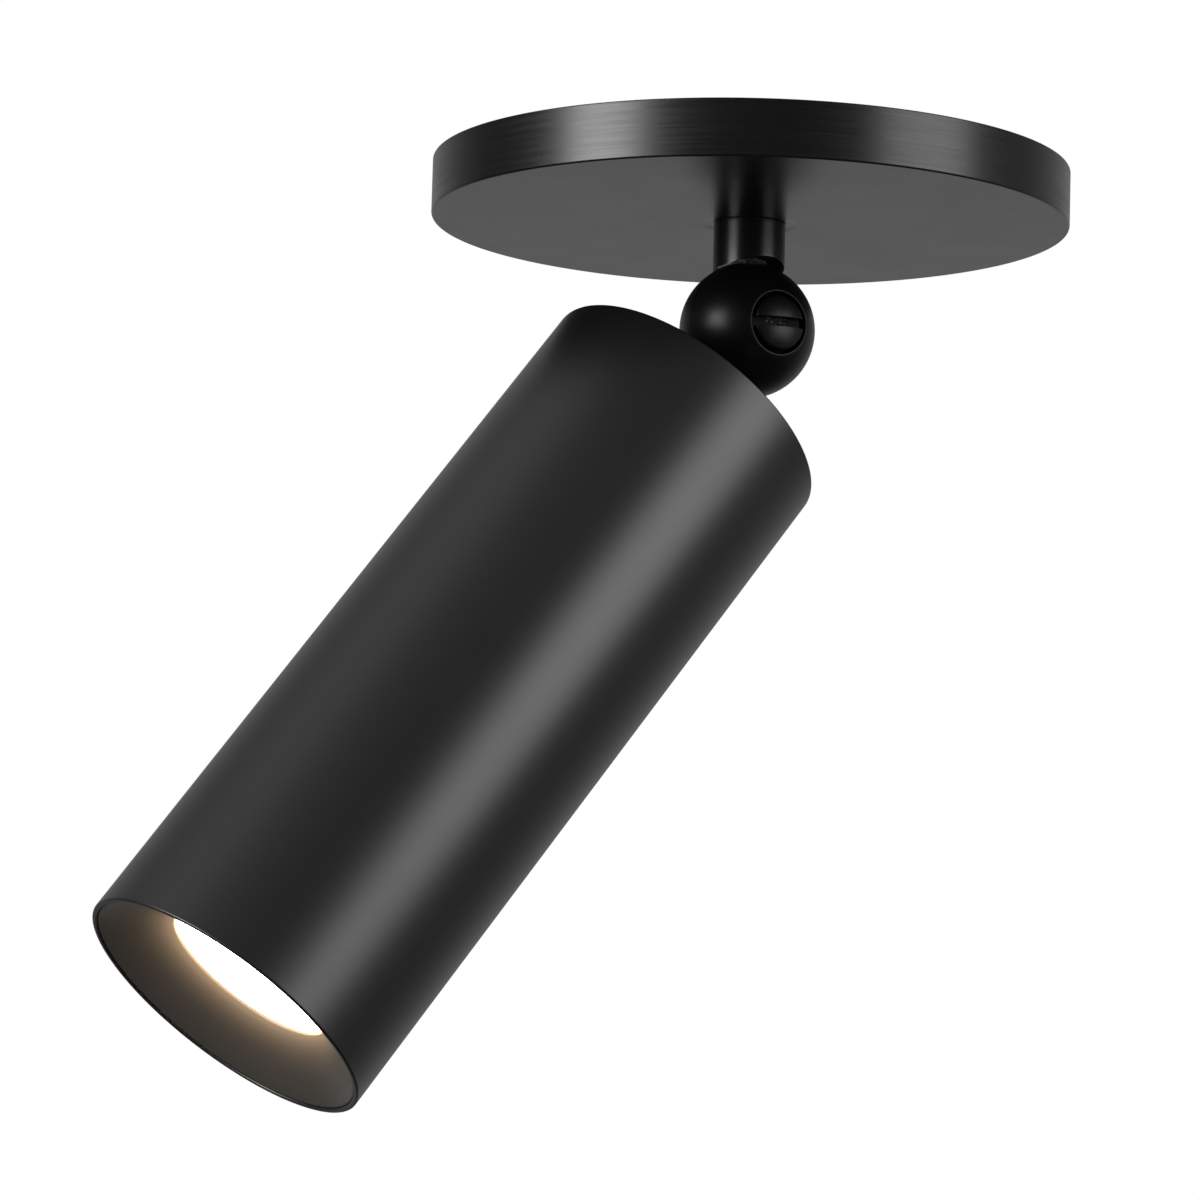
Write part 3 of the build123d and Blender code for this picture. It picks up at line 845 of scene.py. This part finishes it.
def knuckleBlack(name, look, neckTurn):
    material, tree = newMaterial(name)
    place = placed(tree, screwTurn)
    colour, rough, streaks, height = paintLayers(tree, place, look)
    radius, z = tree.aboutAxis(place)
    onBall = 1 - tree.rise((radius * radius + z * z) ** 0.5, look["ballEnd"])
    onLand = tree.rise(z, look["landHeight"]) * (1 - tree.rise(radius, look["landRadius"]))
    inBore = (1 - tree.rise(z, look["boreHeight"])) * (1 - tree.rise(radius, look["boreRadius"]))
    rough = rough + streaks + onBall * look["ballRoughness"]
    rough = rough + onLand * look["landRoughness"] + inBore * look["boreRoughness"]
    away, along = tree.aboutAxis(placed(tree, neckTurn))
    bare = (1 - tree.rise(away, look["wireRadius"])) * tree.rise(along, look["wireStart"])
    specks = tree.smoothStep(tree.noise(place, look["speckScale"], 3, 0.7), *look["specks"])
    metal = tree.blend(specks, grey(look["bareDark"]), grey(look["bareLight"]))
    sockets = {
        "Base Color": tree.blend(bare, colour, metal),
        "Roughness": rough,
        "Metallic": bare * look["bareMetal"],
        "IOR": look["ior"],
        "Coat Weight": (1 - onBall) * (1 - bare) * look["neckCoat"],
        "Coat Roughness": look["coatRoughness"],
    }
    finishMaterial(tree, sockets, height + bare * specks * look["bareBump"], look)
    return material


def slottedBlack(name, look):
    material, tree = newMaterial(name)
    place = placed(tree, screwTurn)
    colour, rough, streaks, height = paintLayers(tree, place, look)
    x, y, z = tree.parts(place)
    deep = 1 - tree.rise(z, look["slotFloor"])
    specks = tree.smoothStep(tree.noise(place, look["speckScale"], 2, 0.7), *look["specks"])
    worn = deep * specks * (1 - tree.rise((x * x) ** 0.5, look["wornReach"]))  # to either side
    rough = rough + streaks + deep * look["slotRoughness"]
    sockets = {
        "Base Color": tree.blend(worn, colour, grey(look["wornTone"])),
        "Metallic": worn,
        "Roughness": rough - worn * look["wornShine"],
        "IOR": look["ior"],
    }
    finishMaterial(tree, sockets, height, look)
    return material


def halfBall(look, counterbored):
    # one half of the ball, drawn with its pole up
    ball = look["ball"] * mm
    seam = look["halfSeam"] * mm
    edge = look["seamEdge"] * mm
    shank = look["shank"] * mm
    rimHeight = seam + edge
    start = math.degrees(math.asin(rimHeight / ball))
    face = [(math.sqrt(ball**2 - rimHeight**2) - edge, seam, look["seamCorner"] * mm)]
    if counterbored:
        end = math.degrees(math.acos(look["land"] * mm / ball))
        corners = [(shank, seam, 0)] + face + arc(ball, start, end, 48)
        landHeight = corners[-1][1]
        corners += [
            (look["counterbore"] * mm, landHeight, look["boreEdge"] * mm),
            (look["counterbore"] * mm, look["floor"] * mm, look["floorEdge"] * mm),
            (shank, look["floor"] * mm, 0),
        ]
        return lathe(corners, closed=True)
    return lathe([(0, seam, 0)] + face + arc(ball, start, 90, 64)[:-1] + [(0, ball, 0)])


def neck(look, sizes):
    # a neck from the ball upwards, with one side of its lower end cut to clear the other half ball
    radius = look["neck"] * mm
    bore = look["wireBore"] * mm
    corners = [
        (bore, look["neckStart"] * mm, 0),
        (radius, look["neckStart"] * mm, 0),
        (radius, sizes["length"], sizes["endEdge"] * mm),
        (bore, sizes["length"], look["wireEdge"] * mm),
    ]
    cope = look["cope"] * mm
    side = 1 if sizes["near"] else -1
    offset = side * (cope / 2 - look["halfSeam"] * mm)
    turn = Matrix.Translation((0, offset, 0)) @ Matrix.Rotation(math.radians(90), 4, "X")
    cutter = turned(cone(256, cope, cope, cope), turn)
    mesh = carve(lathe(corners, closed=True), [cutter], "DIFFERENCE")
    near = 0.01 * mm
    bmesh.ops.remove_doubles(mesh, verts=mesh.verts, dist=near)
    rounded = []
    for edge in mesh.edges:
        onCope = all(abs(math.hypot(v.co.x, v.co.z) - cope) < near for v in edge.verts)
        onSkin = all(abs(math.hypot(v.co.x, v.co.y) - radius) < 4 * near for v in edge.verts)
        if onCope and onSkin:
            rounded.append(edge)
    bmesh.ops.bevel(
        mesh,
        geom=rounded,
        offset=look["copeEdge"] * mm,
        segments=3,
        profile=0.5,
        affect="EDGES",
        material=-1,
        clamp_overlap=False,
    )
    print("cope edge:", len(rounded), "edges rounded")
    return mesh


def makeKnuckle(name, look, sizes):
    ball = turned(halfBall(look, sizes["near"]), sizes["ballTurn"])
    stem = turned(neck(look, sizes), sizes["neckTurn"])
    mesh = carve(ball, [stem], "UNION")
    near = 0.002 * mm
    bmesh.ops.remove_doubles(mesh, verts=mesh.verts, dist=near)
    black = knuckleBlack(sizes["finish"], swivelPaint, sizes["neckTurn"])
    knuckle = makeObject(name, mesh, black, sharpAngle=30)
    finishPiece(knuckle, sizes["body"], sizes["node"])


def makeScrew(look):
    head = look["head"] * mm
    ball = swivelShape["ball"] * mm
    rim = math.sqrt(ball**2 - head**2)  # the head follows the ball's own round
    soft = look["domeEdge"] * mm
    shank = look["shank"] * mm
    dome = arc(ball, math.degrees(math.acos(head / ball)), 90, 36)
    corners = [
        (0, look["end"] * mm, 0),
        (shank, look["end"] * mm, look["endEdge"] * mm),
        (shank, look["seat"] * mm, 0),
        (head, look["seat"] * mm, look["seatEdge"] * mm),
        (head, rim, soft),
    ]
    corners += [point for point in dome[1:-1] if point[0] < head - soft]
    corners += [(0, ball, 0)]
    # the screw's X is world X and its Y is world Z, so a positive turn lifts the slot's right end
    turn = Matrix.Translation((0, 0, rim)) @ Matrix.Rotation(math.radians(look["slotTurn"]), 4, "Z")
    slot = turned(block(3 * head, look["slotWidth"] * mm, 2 * look["slotDepth"] * mm), turn)
    mesh = carve(lathe(corners, steps=160, segments=6), [slot], "DIFFERENCE")
    black = slottedBlack("screwBlack", screwFinish)
    screw = makeObject("clampScrew", turned(mesh, screwTurn), black, sharpAngle=30)
    softEdges(screw, look["slotEdge"] * mm)
    finishPiece(screw, "swivel", "swivel_screw")


for knuckleName, knuckleSizes in knuckles.items():
    makeKnuckle(knuckleName, swivelShape, knuckleSizes)
makeScrew(screwShape)
print("swivel made")

# Head: the drawn housing, its top screws, the dish and the lens

housingPaint = {
    "dark": (0.0005, 0.0005, 0.0006),
    "light": (0.0011, 0.0011, 0.0012),
    "roughness": 0.38,
    "roughPatches": 0.04,
    "roughLines": 0.02,
    "ior": 1.62,
    "lineScale": 3000,
    "lineStretch": 60,
    "grainScale": 5000,
    "patchScale": 40,
    "lineHeight": 0.1,
    "bump": 0.15,
    "bumpDepth": 0.015,
}
housingShape = {
    "wall": 1.0,
    "top": 2.0,
    "edge": 0.35,
    "mouthEdge": 0.3,
    "innerEdge": 1.5,
    "hole": 5.15,
    "holeEdge": 0.1,
    "topRing": 0.6,  # share of the radius where a ring of edges keeps the top even
    "screwOffset": 21.0,
    "sinkRadius": 2.8,
    "sinkFoot": 1.6,
}
topScrewShape = {
    "offset": housingShape["screwOffset"],
    "head": 2.7,
    "headEdge": 0.06,
    "headFoot": 1.25,
    "sunk": 0.05,
    "shank": 1.5,
    "length": 6.0,
    "endEdge": 0.2,
    "crossLength": 3.0,
    "crossWidth": 0.7,
    "crossDepth": 1.2,
    "crossTurn": 20,
}


def makeHousing(look):
    low, high, radius = reach("housing", headTurn)
    bore = radius - look["wall"] * mm
    top = high - look["top"] * mm
    corners = [
        (look["hole"] * mm, high, look["holeEdge"] * mm),
        (radius * look["topRing"], high, 0),
        (radius, high, look["edge"] * mm),
        (radius, low, look["mouthEdge"] * mm),
        (bore, low, look["mouthEdge"] * mm),
        (bore, top, look["innerEdge"] * mm),
        (look["hole"] * mm, top, 0),
    ]
    deep = (look["sinkRadius"] - look["sinkFoot"]) * mm
    sinks = []
    for side in (-1, 1):
        # the cone's middle lies in the top face
        sink = cone(48, look["sinkFoot"] * mm, look["sinkRadius"] * mm + deep, 2 * deep)
        sinks.append(turned(sink, Matrix.Translation((side * look["screwOffset"] * mm, 0, high))))
    mesh = carve(lathe(corners, steps=256, closed=True), sinks, "DIFFERENCE")
    black = satinBlack("housingBlack", housingPaint, headTurn)
    housing = makeObject("housingTube", turned(mesh, headTurn), black)
    finishPiece(housing, "head", "housing")


def makeTopScrews(look):
    high = reach("housing", headTurn)[1]
    top = high - look["sunk"] * mm
    end = high - look["length"] * mm
    shank = look["shank"] * mm
    corners = [
        (0, end, 0),
        (shank, end, look["endEdge"] * mm),
        (shank, high - look["headFoot"] * mm, 0),
        (look["head"] * mm, top, look["headEdge"] * mm),
        (0, top, 0),
    ]
    joined = bmesh.new()
    for side in (-1, 1):
        cross = []
        for angle in (0, 90):
            bar = block(look["crossLength"] * mm, look["crossWidth"] * mm, 2 * look["crossDepth"] * mm)
            spin = Matrix.Rotation(math.radians(angle + look["crossTurn"]), 4, "Z")
            cross.append(turned(bar, Matrix.Translation((0, 0, high)) @ spin))
        screw = carve(lathe(corners, steps=64, segments=3), cross, "DIFFERENCE")
        addTo(joined, turned(screw, Matrix.Translation((side * look["offset"] * mm, 0, 0))))
    black = satinBlack("topScrewBlack", screwFinish, headTurn)
    screws = makeObject("topScrews", turned(joined, headTurn), black, sharpAngle=30)
    finishPiece(screws, "head", "top_screws")


baffleFinish = {
    "dark": (0.018, 0.0165, 0.0148),
    "light": (0.028, 0.0262, 0.024),
    "roughness": 0.40,
    "roughLines": 0.18,
    "lineScale": 2200,
    "lineStretch": 25,
    "lineShare": 0.6,
    "patchScale": 70,
    "bump": 0.25,
    "bumpDepth": 0.02,
    # painted light: an emission glow on the dish next to the lens, standing in for the light that the opal
    # lens spills on it
    "glow": (1.0, 0.66, 0.38),
    "glowStrength": 0.40,
    "glowReach": 1.9,
    "glowStart": (0.1, 0.3),
    "glowLines": 0.3,
}
baffleShape = {
    "rim": 0.35,
    "rimEdge": 0.12,
    "skirtWall": 1.6,
    "skirtFoot": 2.0,
    "lip": 0.5,
    "lipEdge": 0.15,
    "aperture": 16.4,
    "seatGap": 0.15,
    "seatWall": 1.5,
    "seatFoot": 0.4,
}
lensLook = {
    "dark": (0.80, 0.76, 0.68),
    "light": (0.90, 0.86, 0.78),
    "strength": 16.0,
    "middle": (1.0, 0.82, 0.58),
    "edge": (0.9, 0.50, 0.20),
    "edgeStart": 0.90,
    "roughness": 0.35,
    "hazeScale": 900,
    "hazeRoughness": 0.1,
    "hazeGlow": 0.15,
    "bump": 0.1,
    "bumpDepth": 0.02,
}
lensShape = {
    "crown": 0.35,
    "crownShare": 0.85,  # of the radius
    "crownRings": 10,
    "edge": 0.2,
}


def turnedDish(name, look):
    material, tree = newMaterial(name)
    place = placed(tree, headTurn)
    radius, z = tree.aboutAxis(place)
    lines = spunLines(tree, place, look)
    patches = tree.noise(place, look["patchScale"], 4, 0.55)
    tint = lines * look["lineShare"] + patches * (1 - look["lineShare"])
    # painted glow: emission that fades away from the aperture in front of the lens, standing in for the
    # lens's light on the dish
    away = (radius - baffleShape["aperture"] * mm) / (look["glowReach"] * mm)
    front = tree.rise(reach("lens", headTurn)[0] - z, look["glowStart"])
    lit = math.e ** (away * -1) * front * (1 + (lines - 0.5) * look["glowLines"])
    sockets = {
        "Base Color": shades(tree, tint, look),
        "Roughness": look["roughness"] + (lines - 0.5) * look["roughLines"],
        "Emission Color": tree.blend(lit, grey(0), (*look["glow"], 1)),
        "Emission Strength": look["glowStrength"],
    }
    finishMaterial(tree, sockets, lines, look)
    return material


def makeBaffle(look):
    low, high, radius = reach("baffle", headTurn)
    lensFront, lensBack, lensRadius = reach("lens", headTurn)
    aperture = look["aperture"] * mm
    skirt = radius - look["skirtWall"] * mm
    seat = lensRadius + look["seatGap"] * mm
    seatOut = seat + look["seatWall"] * mm
    corners = [
        (aperture, lensFront - look["lip"] * mm, look["lipEdge"] * mm),
        (radius - look["rim"] * mm, low, look["rimEdge"] * mm),
        (radius, low, look["rimEdge"] * mm),
        (radius, high, 0),
        (skirt, high, 0),
        (skirt, lensFront - look["skirtFoot"] * mm, 0),
        (seatOut, lensFront + look["seatFoot"] * mm, 0),
        (seatOut, lensBack, 0),
        (seat, lensBack, 0),
        (seat, lensFront, 0),
        (aperture, lensFront, 0),
    ]
    mesh = turned(lathe(corners, steps=256, closed=True), headTurn)
    baffle = makeObject("baffleDish", mesh, turnedDish("baffleDark", baffleFinish))
    finishPiece(baffle, "head", "baffle")


def opalLens(name, look):
    material, tree = newMaterial(name)
    place = placed(tree, headTurn)
    haze = tree.noise(place, look["hazeScale"], 3)
    share = tree.aboutAxis(place)[0] / (baffleShape["aperture"] * mm)
    edge = tree.smoothStep(share, look["edgeStart"], 1.0)
    warm = tree.blend(edge, (*look["middle"], 1), (*look["edge"], 1))
    sockets = {
        "Base Color": shades(tree, haze, look),
        "Roughness": look["roughness"] + (haze - 0.5) * look["hazeRoughness"],
        "Emission Color": tree.blend(haze * look["hazeGlow"], warm, (*look["edge"], 1)),
        "Emission Strength": look["strength"],
    }
    finishMaterial(tree, sockets, haze, look)
    return material


def makeLens(look):
    low, high, radius = reach("lens", headTurn)
    edge = look["edge"] * mm
    corners = [(0, high, 0), (radius, high, edge), (radius, low, edge)]
    for index in range(look["crownRings"], -1, -1):
        share = index / look["crownRings"]
        rise = look["crown"] * mm * (1 - share**2)
        corners.append((radius * look["crownShare"] * share, low - rise, 0))
    mesh = turned(lathe(corners, steps=128), headTurn)
    lens = makeObject("lensDisc", mesh, opalLens("opalLens", lensLook))
    finishPiece(lens, "head", "lens")


makeHousing(housingShape)
makeTopScrews(topScrewShape)
makeBaffle(baffleShape)
makeLens(lensShape)
print("head made")

# Inside pieces keep their solids and get their finishes

# dark and light shade, roughness, and the frame that the scratches follow
metalLooks = {
    "headZinc": (zincLook["dark"], zincLook["light"], zincLook["roughness"], headTurn),
    "springSteel": ((0.20, 0.20, 0.21), (0.34, 0.34, 0.35), 0.38, upright),
    "darkSteel": ((0.03, 0.03, 0.03), (0.06, 0.06, 0.06), 0.5, upright),
    "aluminium": ((0.66, 0.67, 0.68), (0.80, 0.81, 0.82), 0.36, headTurn),
    "brightBowl": ((0.86, 0.86, 0.86), (0.92, 0.92, 0.92), 0.15, headTurn),
}
plasticLooks = {
    "nylon": ((0.66, 0.64, 0.56), (0.76, 0.74, 0.66), 0.45),
    "blackFibre": ((0.020, 0.020, 0.020), (0.038, 0.037, 0.036), 0.65),
    "driverCase": ((0.74, 0.74, 0.72), (0.84, 0.84, 0.82), 0.5),
    "pad": ((0.36, 0.37, 0.39), (0.46, 0.47, 0.49), 0.6),
    "phosphor": ((0.80, 0.66, 0.14), (0.90, 0.76, 0.22), 0.3),
    "holder": ((0.78, 0.78, 0.76), (0.86, 0.86, 0.84), 0.45),
    "ringRubber": ((0.018, 0.018, 0.018), (0.03, 0.03, 0.03), 0.55),
    "leadRed": ((0.42, 0.03, 0.02), (0.56, 0.05, 0.03), 0.35),
    "leadDark": ((0.02, 0.02, 0.02), (0.03, 0.03, 0.03), 0.35),
}
plasticGrain = {
    "grainScale": 3000,
    "patchScale": 120,
    "roughGrain": 0.15,
    "bump": 0.15,
    "bumpDepth": 0.03,
}
nodeFinishes = {
    "pan_washer": "blackFibre",
    "swivel_spring_washer": "darkSteel",
    "swivel_friction_washer": "nylon",
    "head_nipple": "headZinc",
    "head_tooth_washer": "springSteel",
    "head_lock_nut": "headZinc",
    "short_standoffs": "headZinc",
    "driver_plate": "headZinc",
    "driver_screws": "headZinc",
    "driver": "driverCase",
    "tie_rods": "headZinc",
    "heat_sink": "aluminium",
    "heat_sink_screws": "headZinc",
    "thermal_pad": "pad",
    "led_board": "aluminium",
    "led_emitter": "phosphor",
    "led_holder": "holder",
    "holder_screws": "headZinc",
    "reflector": "brightBowl",
    "baffle_o_ring": "ringRubber",
    "lead_positive": "leadRed",
    "lead_negative": "leadDark",
}

finishes = {}
for finishName, (dark, light, roughness, turn) in metalLooks.items():
    metalLook = {**zincLook, "dark": dark, "light": light, "roughness": roughness}
    finishes[finishName] = plainMetal(finishName, metalLook, turn)
for finishName, (dark, light, roughness) in plasticLooks.items():
    plasticLook = {**plasticGrain, "dark": dark, "light": light, "roughness": roughness}
    finishes[finishName] = mouldedPlastic(finishName, plasticLook)
for nodeName, finishName in nodeFinishes.items():
    node = frame["nodes"][nodeName]
    node.data.materials.clear()
    node.data.materials.append(finishes[finishName])
print("inside pieces finished")
